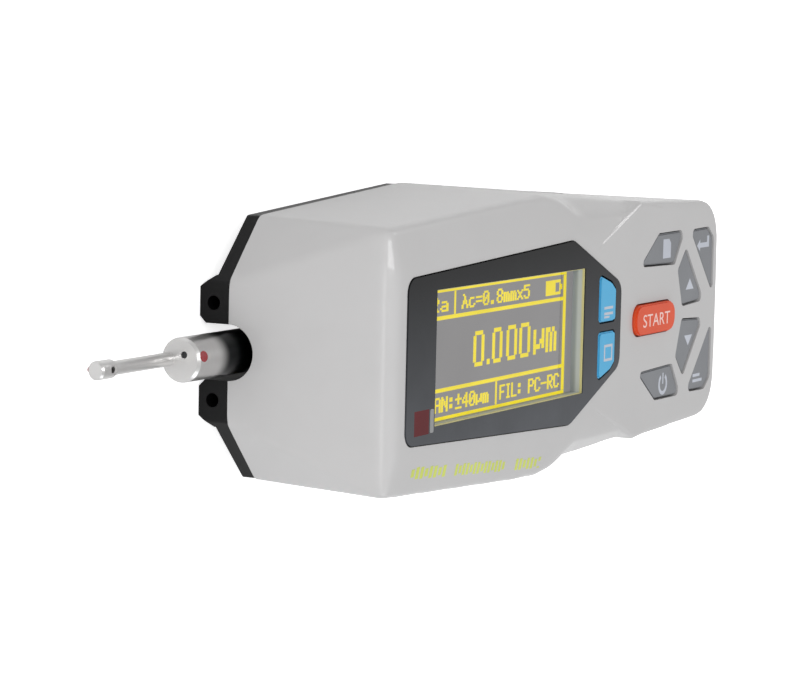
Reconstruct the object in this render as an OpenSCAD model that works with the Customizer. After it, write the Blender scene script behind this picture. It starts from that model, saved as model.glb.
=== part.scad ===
// Hand-held surface roughness tester, lying on its rails with the screen up.
// Lengths are in millimetres. The origin lies on the plane of the rail soles,
// under the middle of the whole length; +X runs from the pickup to the keypad.

/* [Body] */
// Length of the housing without the pickup
body_length = 141; // [138:1:150]
// Half width of the housing at its widest place
half_width = 27; // [26.4:0.2:29]
// Height of the screen face above the rail soles
face_height = 38; // [37:0.5:42]
// Thickness of the moulded side walls
wall = 2; // [1.6:0.1:2.4]
// Thickness of the moulded face
face_wall = 3; // [2.8:0.1:3.4]
// Height of the joint between the grey housing and the black base
parting = 5.8; // [5.4:0.1:6.2]
// Drop of the side facets between face and side crease
facet_drop = 1.6; // [1.0:0.1:2.2]
// Rounding of the edge between the end and the face
end_round = 3; // [2.4:0.1:3.6]
// Depth of the thumb scoops into the long sides
scoop_depth = 4.8; // [3.6:0.2:5.4]

/* [Base] */
// Height of the two rails under the base plate
rail_height = 2.9; // [2.4:0.1:3.2]
// Width of the flat sole of a rail
sole_width = 5.1; // [4.4:0.1:5.6]
// Length of the rails
rail_length = 128; // [110:1:132]
// Radius of the pickup channel and of the arch in the end wall
channel_r = 4.9; // [4.8:0.05:5.1]
// Radius of the accessory screw hole in the end of each rail
rail_hole_r = 1.25; // [1.0:0.05:1.4]
// Depth of that hole
rail_hole_depth = 9; // [6:0.5:12]

/* [Screen] */
// Length of the window in the bezel
window_length = 60.4; // [54:0.4:60.8]
// Width of the window in the bezel
window_width = 23.6; // [20:0.2:23.8]
// Depth of the display surface below the face
display_depth = 3.4; // [3.2:0.1:4.0]
// Height of the bezel panel above the grey face
bezel_proud = 0.2; // [0:0.1:0.6]

/* [Keys] */
// How far a key travels when it is pressed
key_travel = 0.8; // [0.4:0.1:1.0]
// Gap between a key and the edge of its opening
key_gap = 0.3; // [0.2:0.05:0.4]
// Height of the start key above the face
start_proud = 0.9; // [0.4:0.1:1.4]

/* [Pickup] */
// Reach of the pickup tip beyond the housing
pickup_reach = 37; // [35:0.5:42]
// Radius of the pickup body
pickup_r = 3.85; // [3.5:0.05:4.0]
// Radius of the thin guard tube
tube_r = 1.2; // [1.1:0.05:1.3]
// Drop of the guard tube below the axis of the pickup body
tube_drop = 2.4; // [1.6:0.1:2.4]
// Height of the pickup axis above the rail soles
pickup_z = 5.5; // [5.2:0.1:5.7]
// Stroke of the traverse drive
stroke = 17.5; // [10:0.5:18]
// Radial play of sliding and turning fits
play = 0.05; // [0.03:0.01:0.08]

/* [Hidden] */
$fn = 48;
origin_x = (body_length - pickup_reach) / 2;
eps = 0.01;

// Places along the length: end of the window, end of the bezel, keypad
window_x = 15.2;
screen_end = window_x + window_length;
bezel_end = screen_end + 16.6;
keypad_scale = (body_length - 3 - bezel_end) / 45.8;
key_near = bezel_end + 9.8 * keypad_scale;
deck_x = bezel_end - 8.6;

// Plan of the housing: end flat, chamfer corner, widest place, far corner
end_half = 12.3;
shoulder_x = 10.5;
shoulder_half = half_width - 3.7;
widest_x = screen_end - 14.2;
far_half = half_width - 5;
far_round = 8;
crease_near = half_width - 4;
crease_widest = half_width - 0.8;
crease_far = half_width - 6.4;
crease_z = face_height - facet_drop;

// Heights of what hangs under the face
face_under = face_height - face_wall;
display_z = face_height - display_depth;
pane_thick = 1.0;
board_top = face_height - 11;
board_thick = 1.6;
bezel_z = face_height - 1.5;
switch_height = 2.6;

// Bezel outline as corner points with a rounding each
bezel_half = [[4.8, 14.2, 2.5], [screen_end - 5.3, 17.2, 5], [bezel_end, 7.9, 3]];
lens_length = 5.4;
lens_width = 4.3;
start_outline = [[-3.6, 2.95, 2.6], [15.2, 2.95, 2.6], [15.2, -2.95, 2.6], [-3.6, -2.95, 2.6]];
near_outline = [[0, 10.6, 0.5], [8.2, 16.3, 1.2], [20.6, 16.4, 1], [16.2, 10.2, 0.8]];
middle_outline = [[22.0, 12.7, 0.8], [31.2, 2.0, 1], [20.8, 1.5, 0.8], [18.2, 8.6, 0.8]];
far_outline = [[24.4, 16.2, 0.8], [33.2, 16.4, 1.5], [36.0, 14.2, 1.5], [36.0, 3.4, 0.6]];
blue_outline = [[bezel_end - 10, 10.0, 0.8], [bezel_end - 4.7, 8.4, 0.8], [bezel_end - 2.8, 7.0, 0.8],
    [bezel_end - 2.8, 1.0, 0.8], [bezel_end - 10, 1.0, 0.8]];

// Where each key presses: along the length and across
start_at = [key_near + 5 * keypad_scale, 0];
near_at = [key_near + 11 * keypad_scale, 13.6];
middle_at = [key_near + 22.8 * keypad_scale, 6.4];
far_at = [key_near + 32 * keypad_scale, 12.6];
blue_at = [bezel_end - 6, 4.8];

// Screws: places and sizes
base_screw_at = [[18, shoulder_half - 3.8], [body_length - 19, far_half - 4]];
board_screw_at = [[8.6, 11], [key_near + 5.6 * keypad_scale, 6.8]];
base_screw_r = 1.0;
board_screw_r = 0.8;
frame_screw_r = 0.9;

// Traverse drive
frame_floor = 1.5;
frame_x = 6;
plate_thick = 2;
mid_plate_x = 58;
motor_plate_x = 67;
drive_z = (parting + frame_floor + board_top - board_thick) / 2 + 0.15;
rod_y = 9.5;
rod_z = 13;
rod_r = 1.5;
screw_r = 2;
shaft_r = 1;
frame_half = 14;
frame_top = drive_z + 5;
carriage_x = 22;
carriage_length = 12;
socket_r = 3.4;
plug_r = 2.0;
body_front = -15;
body_back = 8;
tip_r = tube_r + 0.4;
tip_length = 4.4;
tube_z = pickup_z - tube_drop;
tip_back = tip_length - pickup_reach;
stylus_x = tip_back - 2;
pivot_x = -18;
battery_x = 98;
battery_half = half_width - 13;
board_half = half_width - 10.5;
boss_height = board_top - board_thick - parting - 3.6;

function unit(v) = v / norm(v);
function xy(p) = [p[0], p[1]];
function corner_arc(a, b, c, r, n) =
    let (u = unit(a - b),
        w = unit(c - b),
        half = acos(u * w) / 2,
        reach = min(r / tan(half), 0.48 * min(norm(a - b), norm(c - b))),
        rad = reach * tan(half),
        mid = b + unit(u + w) * rad / sin(half),
        p = b + u * reach - mid,
        q = b + w * reach - mid)
    [for (i = [0 : n]) mid + unit(p * (1 - i / n) + q * i / n) * rad];
function rounded(pts, n = 6) =
    let (k = len(pts))
    [for (i = [0 : k - 1])
        each corner_arc(xy(pts[(i + k - 1) % k]), xy(pts[i]), xy(pts[(i + 1) % k]), pts[i][2], n)];
function mirrored(pts) = [for (i = [len(pts) - 1 : -1 : 0]) [pts[i][0], -pts[i][1], pts[i][2]]];
function both(pts) = concat(pts, mirrored(pts));
function laid(pts) = [for (p = pts) [key_near + keypad_scale * p[0], p[1], p[2]]];

module place() {
    translate([-origin_x, 0, 0])
        children();
}

module both_sides() {
    children();
    mirror([0, 1, 0])
        children();
}

module rod_x(x0, x1, y, z, r) {
    translate([x0, y, z])
        rotate([0, 90, 0])
            cylinder(h = x1 - x0, r = r);
}

module slab(pts, z0, z1) {
    translate([0, 0, z0])
        linear_extrude(z1 - z0)
            polygon(rounded(pts));
}

module ball(x, y, z, r) {
    translate([x, y, z])
        sphere(r = r, $fn = 24);
}

module disc(x, y, z, r) {
    translate([x, y, z])
        cylinder(h = eps, r = r, $fn = 32);
}

// Grey body under its tilted facets, shrunk by t at the sides and by tf at the face
module front_block(t, tf, low) {
    re = max(end_round - t, 0.8);
    rs = max(1 - t, 0.4);
    hull()
        both_sides() {
            disc(t + 1, end_half - 0.5 - 0.4 * t, low, 1);
            disc(shoulder_x + 0.4 * t, shoulder_half - 1 - t, low, 1);
            disc(widest_x, half_width - 1 - t, low, 1);
            disc(body_length - far_round, far_half - far_round, low, far_round - t);
            disc(body_length - far_round, crease_far - far_round, crease_z - tf, far_round - t);
            disc(body_length - far_round, 16 - far_round, face_height - tf - eps, far_round - t);
            ball(t + re, 15.2 - 0.2 * t, face_height - tf - re, re);
            ball(0.8 + t + re, crease_near - t - re, crease_z - tf - 0.83 * re, re);
            ball(screen_end - 3.6, 18 - 0.2 * t, face_height - tf - rs, rs);
            ball(widest_x, crease_widest - t - rs, crease_z - tf - 0.83 * rs, rs);
        }
}

// Flat keypad deck, whose slanted front edge stands above the side facets
module deck_block() {
    levels = [[parting, 0], [face_height - 0.9, 0], [face_height - 0.3, 0.25], [face_height - eps, 0.85]];
    hull()
        both_sides()
            for (level = levels) {
                disc(deck_x, 15.8, level[0], 1 - level[1]);
                disc(deck_x + 17.4, far_half + 0.3, level[0], 1 - level[1]);
                disc(body_length - far_round, far_half - far_round + 0.1, level[0], far_round - level[1]);
            }
}

module deck_cavity() {
    plan = [[deck_x + 4.5, 15.2, 0.5], [deck_x + 19, far_half - wall + 0.7, 0.5],
        [body_length - wall, far_half - wall - 0.2, far_round - wall]];
    slab(both(plan), parting - 1, face_under + 0.1);
}

// Thumb scoop: a leaning floor with a ramp towards the screen, all corners hollow-rounded
module scoop(t) {
    r = 8;
    lean = 0.78;
    out = unit([1, lean]) * r;
    floor_y = crease_widest - scoop_depth;
    plan = [[widest_x - 5.4, floor_y + 8.6], [screen_end + 1.9, floor_y], [bezel_end + 15.8, floor_y + 0.2]];
    hull()
        for (p = plan)
            for (z = [face_height + 3, face_height - 10])
                ball(p[0], p[1] - lean * (z - crease_z) + out[0], z + out[1], r + t);
}

module housing_cavity() {
    difference() {
        front_block(wall, face_wall, parting - 1);
        both_sides()
            scoop(wall);
    }
    deck_cavity();
}

module housing_bosses() {
    both_sides() {
        for (p = base_screw_at)
            translate([p[0], p[1], parting])
                cylinder(h = boss_height, r = 3);
        for (p = board_screw_at)
            translate([p[0], p[1], board_top])
                cylinder(h = face_under - board_top + 0.5, r = 2.2);
    }
}

module key_openings(z0, z1) {
    key_hole(laid(start_outline), z0, z1);
    both_sides() {
        key_hole(laid(near_outline), z0, z1);
        key_hole(laid(middle_outline), z0, z1);
        key_hole(laid(far_outline), z0, z1);
        key_hole(blue_outline, z0, z1);
    }
}

module key_hole(pts, z0, z1) {
    translate([0, 0, z0])
        linear_extrude(z1 - z0)
            offset(delta = key_gap)
                polygon(rounded(pts));
}

module upper_housing() {
    color([0.75, 0.75, 0.75])
        place()
            difference() {
                union() {
                    difference() {
                        union() {
                            difference() {
                                front_block(0, 0, parting);
                                both_sides()
                                    scoop(0);
                            }
                            deck_block();
                        }
                        housing_cavity();
                    }
                    housing_bosses();
                }
                rod_x(-1, 6, 0, parting, channel_r);
                slab(both(bezel_half), bezel_z, face_height + 2);
                translate([window_x - 2.2, -window_width / 2 - 2, face_under - 2])
                    cube([window_length + 4.4, window_width + 4, 5]);
                key_openings(face_under - 2, face_height + 2);
                translate([body_length - 4, -4.4, board_top - 0.3])
                    cube([6, 8.8, 4]);
                both_sides() {
                    for (p = base_screw_at)
                        translate([p[0], p[1], parting - 1])
                            cylinder(h = 12, r = base_screw_r);
                    for (p = board_screw_at)
                        translate([p[0], p[1], board_top - 1])
                            cylinder(h = 7, r = board_screw_r);
                }
            }
}

module base_plate() {
    inner = channel_r;
    sole_in = inner + 1.2;
    flank = sole_in + sole_width + 2.0;
    plan = [[0, end_half - 0.2, 1], [shoulder_x, shoulder_half - 0.2, 1], [widest_x, half_width - 0.3, 1],
        [body_length, far_half - 0.4, far_round]];
    color([0.15, 0.15, 0.16])
        place()
            difference() {
                union() {
                    slab(both(plan), rail_height, parting);
                    intersection() {
                        both_sides()
                            rotate([90, 0, 90])
                                linear_extrude(rail_length)
                                    polygon([[inner, rail_height + 0.5], [inner, 1.2], [sole_in, 0],
                                        [sole_in + sole_width, 0], [flank, rail_height - 0.3],
                                        [flank, rail_height + 0.5]]);
                        slab(both(plan), -1, parting - 1);
                    }
                }
                translate([-1, -channel_r, -1])
                    cube([53, 2 * channel_r, parting + 2]);
                both_sides() {
                    rod_x(-1, rail_hole_depth, sole_in + sole_width / 2 - 0.2, rail_height - 0.15, rail_hole_r);
                    for (p = base_screw_at) {
                        translate([p[0], p[1], 0])
                            cylinder(h = 10, r = base_screw_r + 0.15);
                        translate([p[0], p[1], 0])
                            cylinder(h = rail_height + 1.6, r = 2.3);
                    }
                    for (x = [12, 54])
                        translate([frame_x + x - 6, frame_half - 2.6, parting - 2])
                            cylinder(h = 4, r = frame_screw_r);
                }
            }
}

module bezel_panel() {
    color([0.06, 0.06, 0.07])
        place()
            difference() {
                union() {
                    slab(both(bezel_half), bezel_z, face_height + bezel_proud);
                    translate([window_x - 1.6, -window_width / 2 - 1.5, display_z + pane_thick])
                        cube([window_length + 3.2, window_width + 3, bezel_z - display_z - pane_thick + 0.3]);
                }
                translate([window_x, -window_width / 2, display_z])
                    cube([window_length, window_width, display_depth + 2]);
                both_sides()
                    key_hole(blue_outline, face_under, face_height + 2);
                translate([7.7, -12.8, face_height + bezel_proud - 1.2])
                    cube([lens_length, lens_width, 3]);
            }
}

module display_window() {
    color([0.8, 0.85, 0.9, 0.4])
        place()
            translate([window_x - 1.6, -window_width / 2 - 1.5, display_z])
                cube([window_length + 3.2, window_width + 3, pane_thick]);
}

module display_module() {
    color([0.3, 0.3, 0.32])
        place()
            union() {
                translate([window_x - 1.6, -window_width / 2 - 1.5, display_z - 2.2])
                    cube([window_length + 3.2, window_width + 3, 2.2]);
                translate([window_x - 1, -window_width / 2 - 1, display_z - 4])
                    cube([window_length + 1.8, window_width + 2, 2]);
            }
}

module status_lens() {
    color([0.4, 0.05, 0.06])
        place()
            translate([7.7, -12.8, face_height + bezel_proud - 1.2])
                cube([lens_length, lens_width, 1.2]);
}

module main_board() {
    color([0.1, 0.35, 0.2])
        place()
            difference() {
                slab(both([[6, board_half, 2], [body_length - 6, board_half, 2]]),
                    board_top - board_thick, board_top);
                both_sides()
                    for (p = board_screw_at)
                        translate([p[0], p[1], board_top - 5])
                            cylinder(h = 10, r = board_screw_r + 0.15);
            }
}

module one_switch(p) {
    translate([p[0] - 2.2, p[1] - 2.2, board_top])
        cube([4.4, 4.4, switch_height - 0.7]);
    translate([p[0], p[1], board_top])
        cylinder(h = switch_height, r = 1.2);
}

module key_switches() {
    color([0.2, 0.2, 0.2])
        place() {
            one_switch(start_at);
            both_sides() {
                one_switch(near_at);
                one_switch(middle_at);
                one_switch(far_at);
                one_switch(blue_at);
            }
        }
}

module battery_pack() {
    color([0.25, 0.4, 0.65])
        place()
            slab(both([[battery_x, battery_half, 2], [body_length - 6, battery_half, 2]]),
                parting, parting + 12);
}

module data_socket() {
    x = body_length - 11;
    color([0.7, 0.7, 0.72])
        place()
            difference() {
                translate([x, -3.9, board_top])
                    cube([9.6, 7.8, 3.2]);
                translate([x + 1, -3.5, board_top + 0.4])
                    cube([9.6, 7, 2.4]);
            }
}

module board_screws() {
    color([0.75, 0.75, 0.72])
        place()
            both_sides()
                for (p = board_screw_at) {
                    translate([p[0], p[1], board_top - board_thick - 1.2])
                        cylinder(h = 1.2, r = 1.7);
                    translate([p[0], p[1], board_top - board_thick - 0.5])
                        cylinder(h = board_thick + 5.5, r = board_screw_r);
                }
}

module base_screws() {
    color([0.3, 0.3, 0.3])
        place()
            both_sides()
                for (p = base_screw_at)
                    translate([p[0], p[1], 0])
                        difference() {
                            union() {
                                translate([0, 0, rail_height + 0.1])
                                    cylinder(h = 1.5, r = 2.1);
                                translate([0, 0, rail_height + 0.5])
                                    cylinder(h = parting + 8 - rail_height, r = base_screw_r);
                            }
                            translate([0, 0, rail_height])
                                cylinder(h = 1, r = 0.9, $fn = 6);
                        }
}

module drive_frame() {
    color([0.65, 0.66, 0.68])
        place()
            difference() {
                union() {
                    both_sides()
                        translate([frame_x, channel_r + 0.6, parting])
                            cube([motor_plate_x + plate_thick - frame_x, frame_half - channel_r - 0.6, frame_floor]);
                    for (x = [frame_x, mid_plate_x, motor_plate_x])
                        translate([x, -frame_half, parting])
                            cube([plate_thick, 2 * frame_half, frame_top - parting]);
                }
                rod_x(frame_x - 1, frame_x + plate_thick + 1, 0, pickup_z, pickup_r + 0.7);
                rod_x(frame_x - 1, mid_plate_x + plate_thick + 1, 0, drive_z, 3.2);
                rod_x(motor_plate_x - 1, motor_plate_x + plate_thick + 1, 0, drive_z, 2.4);
                both_sides() {
                    rod_x(frame_x - 1, mid_plate_x + plate_thick + 1, rod_y, rod_z, rod_r);
                    for (x = [12, 54])
                        translate([frame_x + x - 6, frame_half - 2.6, parting - 1])
                            cylinder(h = 3, r = frame_screw_r + 0.1);
                }
            }
}

module frame_screws() {
    color([0.75, 0.75, 0.72])
        place()
            both_sides()
                for (x = [12, 54])
                    translate([frame_x + x - 6, frame_half - 2.6, parting]) {
                        translate([0, 0, frame_floor])
                            cylinder(h = 1.2, r = 1.8);
                        translate([0, 0, -1.8])
                            cylinder(h = frame_floor + 2.2, r = frame_screw_r);
                    }
}

module guide_rods() {
    color([0.8, 0.8, 0.82])
        place()
            both_sides()
                rod_x(frame_x, mid_plate_x + plate_thick, rod_y, rod_z, rod_r);
}

module screw_bushes() {
    color([0.7, 0.55, 0.25])
        place()
            for (x = [frame_x, mid_plate_x])
                difference() {
                    rod_x(x, x + plate_thick, 0, drive_z, 3.2);
                    rod_x(x - 1, x + plate_thick + 1, 0, drive_z, screw_r + play);
                }
}

module drive_motor() {
    x = motor_plate_x + plate_thick;
    color([0.6, 0.6, 0.62])
        place()
            difference() {
                union() {
                    rod_x(x, x + 11, 0, drive_z, 6);
                    rod_x(x + 10, x + 25, 0, drive_z, 5.4);
                }
                rod_x(x - 1, x + 9, 0, drive_z, shaft_r + play);
            }
}

module carriage() {
    x = carriage_x;
    ring = channel_r - 0.4;
    color([0.2, 0.2, 0.22])
        place()
            difference() {
                union() {
                    translate([x, -12.5, rod_z - 3])
                        cube([carriage_length, 25, drive_z + 8 - rod_z]);
                    rod_x(x, x + 8, 0, pickup_z, ring);
                    translate([x, -3.4, pickup_z])
                        cube([8, 6.8, rod_z - 2.5 - pickup_z]);
                }
                rod_x(x - 1, x + 9, 0, pickup_z, socket_r);
                rod_x(x - 1, x + carriage_length + 1, 0, drive_z, 3.6);
                both_sides()
                    rod_x(x - 1, x + carriage_length + 1, rod_y, rod_z, rod_r + play);
            }
}

module carriage_nut() {
    color([0.75, 0.6, 0.25])
        place()
            difference() {
                rod_x(carriage_x, carriage_x + carriage_length, 0, drive_z, 3.6);
                rod_x(carriage_x - 1, carriage_x + carriage_length + 1, 0, drive_z, screw_r + play);
            }
}

module pickup_socket() {
    color([0.12, 0.12, 0.12])
        place()
            difference() {
                rod_x(body_back + 0.5, carriage_x + 8, 0, pickup_z, socket_r);
                rod_x(body_back - 1, carriage_x + 4, 0, pickup_z, plug_r);
            }
}

module turned_x(profile, z) {
    translate([0, 0, z])
        rotate([0, 90, 0])
            rotate_extrude()
                polygon(profile);
}

module pickup_body() {
    color([0.78, 0.78, 0.8])
        place()
            difference() {
                turned_x([[0, body_front], [pickup_r - 0.45, body_front], [pickup_r, body_front + 0.45],
                    [pickup_r, body_back], [plug_r, body_back], [plug_r, carriage_x + 3],
                    [0, carriage_x + 3]], pickup_z);
                rod_x(body_front - 1, body_front + 3, 0, tube_z, tube_r);
                rod_x(body_front - 1, body_front + 2, 0.95, pickup_z + 0.75, 0.6);
            }
}

module pickup_screw() {
    color([0.05, 0.05, 0.05])
        place()
            rod_x(body_front + 0.25, body_front + 2, 0.95, pickup_z + 0.75, 0.6);
}

module pickup_tube() {
    color([0.75, 0.75, 0.77])
        place()
            difference() {
                turned_x([[0, -pickup_reach], [tip_r - 0.3, -pickup_reach], [tip_r, -pickup_reach + 0.3],
                    [tip_r, tip_back - 0.3], [tube_r, tip_back], [tube_r, body_front + 3],
                    [0, body_front + 3]], tube_z);
                rod_x(-pickup_reach + 0.8, body_front + 4, 0, tube_z, 0.8);
                translate([stylus_x - 0.6, -0.6, tube_z - 3])
                    cube([1.2, 1.2, 3]);
                translate([tip_back - 1.2, 0, tube_z])
                    cylinder(h = 3, r = 0.55);
                translate([tip_back - 2.1, -0.85, tube_z + tip_r - 0.3])
                    cube([1.9, 1.7, 1]);
                translate([-pickup_reach + 1.1, 0, tube_z - tip_r])
                    sphere(r = 0.6);
                translate([pivot_x, 3, tube_z])
                    rotate([90, 0, 0])
                        cylinder(h = 6, r = 0.25);
            }
}

module pickup_skid() {
    color([0.6, 0.1, 0.15])
        place()
            translate([-pickup_reach + 1.1, 0, tube_z - tip_r])
                sphere(r = 0.6);
}

module stylus_pin() {
    color([0.5, 0.5, 0.52])
        place()
            translate([pivot_x, tube_r - 0.1, tube_z])
                rotate([90, 0, 0])
                    cylinder(h = 2 * tube_r - 0.2, r = 0.25);
}

module stylus_arm() {
    color([0.55, 0.55, 0.58])
        place()
            difference() {
                union() {
                    rod_x(stylus_x - 0.25, pivot_x, 0, tube_z, 0.3);
                    translate([pivot_x, 0.4, tube_z])
                        rotate([90, 0, 0])
                            cylinder(h = 0.8, r = 0.55);
                    translate([stylus_x, 0, tube_z - tip_r - 0.2])
                        cylinder(h = tip_r + 0.2, r = 0.25);
                    translate([stylus_x, 0, tube_z - tip_r - 0.6])
                        cylinder(h = 0.4, r1 = 0.05, r2 = 0.25);
                }
                translate([pivot_x, 3, tube_z])
                    rotate([90, 0, 0])
                        cylinder(h = 6, r = 0.25 + play);
            }
}

module lead_screw() {
    color([0.7, 0.7, 0.72])
        place()
            rod_x(frame_x + 0.2, mid_plate_x + plate_thick + 3, 0, drive_z, screw_r);
}

module shaft_sleeve() {
    x = mid_plate_x + plate_thick;
    color([0.75, 0.6, 0.25])
        place()
            difference() {
                rod_x(x + 0.4, motor_plate_x - 0.4, 0, drive_z, 3.4);
                rod_x(x - 1, x + 3, 0, drive_z, screw_r);
                rod_x(x + 2, motor_plate_x + 1, 0, drive_z, shaft_r);
            }
}

module motor_shaft() {
    color([0.8, 0.8, 0.82])
        place()
            rod_x(mid_plate_x + plate_thick + 3, motor_plate_x + plate_thick + 8, 0, drive_z, shaft_r);
}

// A key with its cap, a retaining flange under the face and a stem over its switch
module key(pts, at, top) {
    flange_top = face_under - 0.1;
    stem_low = board_top + switch_height + key_travel + 0.15;
    slab(pts, flange_top - 1.2, top - 0.35);
    translate([0, 0, top - 0.35])
        linear_extrude(0.35)
            offset(delta = -0.25)
                polygon(rounded(pts));
    translate([0, 0, flange_top - 1.2])
        linear_extrude(1.2)
            offset(delta = 0.7)
                polygon(rounded(pts));
    translate([at[0], at[1], stem_low])
        cylinder(h = flange_top - stem_low, r = 1.3);
}

module grey_key(pts, at) {
    color([0.5, 0.52, 0.55])
        place()
            key(laid(pts), at, face_height - 0.25);
}

module blue_key(pts, at) {
    color([0.3, 0.66, 0.86])
        place()
            key(pts, at, face_height + bezel_proud + 0.2);
}

function across(p) = [p[0], -p[1]];

module start_key() {
    color([0.85, 0.35, 0.18])
        place()
            key(laid(start_outline), start_at, face_height + start_proud);
}

module blue_key_upper() {
    blue_key(blue_outline, blue_at);
}

module blue_key_lower() {
    blue_key(mirrored(blue_outline), across(blue_at));
}

module upper_near_key() {
    grey_key(near_outline, near_at);
}

module upper_middle_key() {
    grey_key(middle_outline, middle_at);
}

module upper_far_key() {
    grey_key(far_outline, far_at);
}

module lower_near_key() {
    grey_key(mirrored(near_outline), across(near_at));
}

module lower_middle_key() {
    grey_key(mirrored(middle_outline), across(middle_at));
}

module lower_far_key() {
    grey_key(mirrored(far_outline), across(far_at));
}

upper_housing();
base_plate();
bezel_panel();
display_window();
display_module();
status_lens();
main_board();
key_switches();
battery_pack();
data_socket();
board_screws();
base_screws();
drive_frame();
frame_screws();
guide_rods();
screw_bushes();
drive_motor();
carriage();
carriage_nut();
pickup_socket();
pickup_body();
pickup_screw();
pickup_tube();
pickup_skid();
stylus_pin();
stylus_arm();
lead_screw();
shaft_sleeve();
motor_shaft();
start_key();
blue_key_upper();
blue_key_lower();
upper_near_key();
upper_middle_key();
upper_far_key();
lower_near_key();
lower_middle_key();
lower_far_key();
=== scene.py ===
# %% [markdown]
# # Surface roughness tester
# A hand-held instrument that draws a fine stylus over a metal surface and shows how rough it is. The solid
# shapes come from the imported model, which is loaded first and never moved. This lesson gives those
# shapes their finishes, makes a softer shell for the housing, adds the figures and prints, and sets the
# light.

# %% Load the fixed frame
import bpy
import bmesh
import math
from mathutils import Matrix, Vector
from mathutils.bvhtree import BVHTree


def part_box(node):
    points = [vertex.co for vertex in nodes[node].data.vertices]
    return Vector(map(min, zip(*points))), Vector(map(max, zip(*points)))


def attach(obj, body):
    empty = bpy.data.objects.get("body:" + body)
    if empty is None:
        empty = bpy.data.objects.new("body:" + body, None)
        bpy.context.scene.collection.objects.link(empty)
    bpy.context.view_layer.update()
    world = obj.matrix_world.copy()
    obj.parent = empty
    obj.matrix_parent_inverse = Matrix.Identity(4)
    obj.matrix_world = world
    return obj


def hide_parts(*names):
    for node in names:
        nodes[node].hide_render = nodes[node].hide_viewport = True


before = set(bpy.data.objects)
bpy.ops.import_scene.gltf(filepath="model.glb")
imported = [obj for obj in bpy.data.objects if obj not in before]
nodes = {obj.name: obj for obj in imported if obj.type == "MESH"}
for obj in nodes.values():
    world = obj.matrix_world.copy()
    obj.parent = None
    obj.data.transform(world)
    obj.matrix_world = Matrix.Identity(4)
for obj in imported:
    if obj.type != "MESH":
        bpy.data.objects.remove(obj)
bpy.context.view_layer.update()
MM = 0.001

# %% [markdown]
# ## Camera
# The photograph looks down on the tester from its pickup end, with the camera turned on its side. The
# place, the tilt and the focal length were found by laying the edges of the model over the photograph. A
# long lens far away gives the weak perspective that product photographs have.

# %% Camera
view = bpy.data.cameras.new("camera")
view.sensor_width = 36.0
view.lens = 141.58
view.clip_end = 20.0
camera = bpy.data.objects.new("camera", view)
bpy.context.scene.collection.objects.link(camera)
camera.location = (-0.52009, 0.05990, 0.28807)
camera.rotation_euler = (-0.145738, -1.081204, 0.047734)
bpy.context.scene.camera = camera
print("camera at", [round(c, 3) for c in camera.location], "lens", view.lens)

# %% [markdown]
# ## White surroundings
# A floor that is only white paint would look grey in soft light, and more light would wash out the grey
# plastic. So the floor and the world get an extra glow for rays that come straight from the camera, and a
# small share of it for rays that are mirrored in metal or seen through glass. The soft light that matt
# surfaces receive isn't changed by it.


# %% Helper for white surroundings
MIRRORED_SHARE = 0.2


def maths(tree, operation, *values):
    step = tree.nodes.new("ShaderNodeMath")
    step.operation = operation
    for socket, value in zip(step.inputs, values):
        if isinstance(value, float):
            socket.default_value = value
        else:
            tree.links.new(value, socket)
    return step.outputs[0]


def seen_strength(tree, plain, extra):
    rays = tree.nodes.new("ShaderNodeLightPath").outputs
    mirror_or_glass = maths(tree, "MAXIMUM", rays["Is Glossy Ray"], rays["Is Transmission Ray"])
    softer = maths(tree, "MULTIPLY", mirror_or_glass, MIRRORED_SHARE)
    seen = maths(tree, "MAXIMUM", rays["Is Camera Ray"], softer)
    return maths(tree, "MULTIPLY_ADD", seen, extra, plain)


print("mirrors and glass see", MIRRORED_SHARE, "of the extra glow")

# %% [markdown]
# ## Floor
# The tester lies on a plain white floor, which is a hair lower than the model, so that the two never
# share a plane. The glow is added to white paint, so the shadow still darkens the paint part.

# %% Floor
FLOOR_REACH = 4
FLOOR_DROP = 0.2 * MM
PAPER_GLOW = 0.78
corners = [(x * FLOOR_REACH, y * FLOOR_REACH, 0) for x, y in ((-1, -1), (1, -1), (1, 1), (-1, 1))]
floor_mesh = bpy.data.meshes.new("floor")
floor_mesh.from_pydata(corners, [], [(0, 1, 2, 3)])
floor = bpy.data.objects.new("floor", floor_mesh)
floor.location.z = -FLOOR_DROP
bpy.context.scene.collection.objects.link(floor)

paper = bpy.data.materials.new("white_paper")
paper.use_nodes = True
tree = paper.node_tree
tree.nodes.clear()
out = tree.nodes.new("ShaderNodeOutputMaterial")
paint = tree.nodes.new("ShaderNodeBsdfDiffuse")
paint.inputs["Color"].default_value = (0.86, 0.86, 0.86, 1)
glow = tree.nodes.new("ShaderNodeEmission")
glow.inputs["Color"].default_value = (1, 1, 1, 1)
both = tree.nodes.new("ShaderNodeAddShader")
tree.links.new(seen_strength(tree, 0.0, PAPER_GLOW), glow.inputs["Strength"])
tree.links.new(paint.outputs[0], both.inputs[0])
tree.links.new(glow.outputs[0], both.inputs[1])
tree.links.new(both.outputs[0], out.inputs["Surface"])
floor.data.materials.append(paper)
print("floor is", floor.dimensions.x, "m wide")

# %% [markdown]
# ## Light
# The photograph has even light with no hard shadow: a bright room and large soft boxes. A pale world
# fills everything, and looks white behind the floor. Three large lamps light the screen, the pickup end
# and the lower side. Large lamps make long, soft highlights on rounded plastic edges. A narrow lamp draws
# the short bright streak where the end wall turns into the upper facet, and one from behind draws the
# slash along the edge of the deck. Places and sizes are in metres.

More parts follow.
